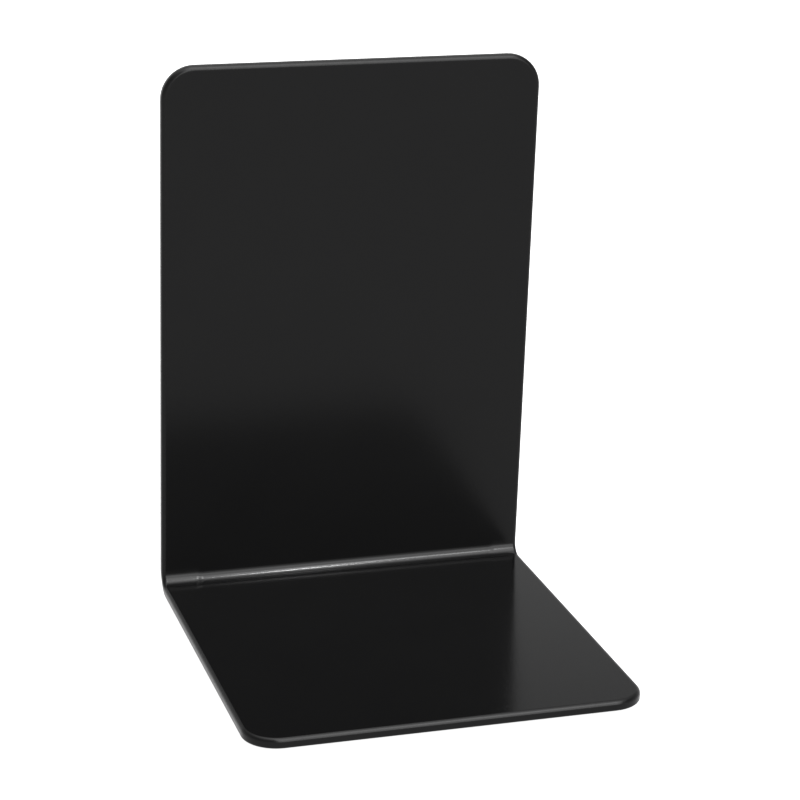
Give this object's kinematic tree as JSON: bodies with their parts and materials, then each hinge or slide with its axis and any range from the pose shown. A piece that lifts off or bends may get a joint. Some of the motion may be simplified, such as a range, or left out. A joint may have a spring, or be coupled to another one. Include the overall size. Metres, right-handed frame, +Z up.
{
  "type": "bookend",
  "caption": "L-shaped sheet-steel bookend with rounded corners and edges, an upright for books to lean on and a base that slides under them on rubber pads.",
  "frame": {"origin": "on the shelf, under the middle of the bookend's width and depth", "axes": "+Z up; +X to the right along the bend, seen from the books; the base runs towards -Y under the books and the upright stands at +Y"},
  "size_m": [0.125, 0.129, 0.1806],
  "materials": {
    "black_powder_coat": "satin",
    "pad_rubber": "matte",
    "adhesive_film": "satin"
  },
  "bodies": {
    "root": {"bent_steel_plate": "black_powder_coat", "anti_slip_pad_front_left": "pad_rubber", "anti_slip_pad_front_right": "pad_rubber", "anti_slip_pad_rear_left": "pad_rubber", "anti_slip_pad_rear_right": "pad_rubber", "adhesive_disc_front_left": "adhesive_film", "adhesive_disc_front_right": "adhesive_film", "adhesive_disc_rear_left": "adhesive_film", "adhesive_disc_rear_right": "adhesive_film"}
  },
  "joints": []
}
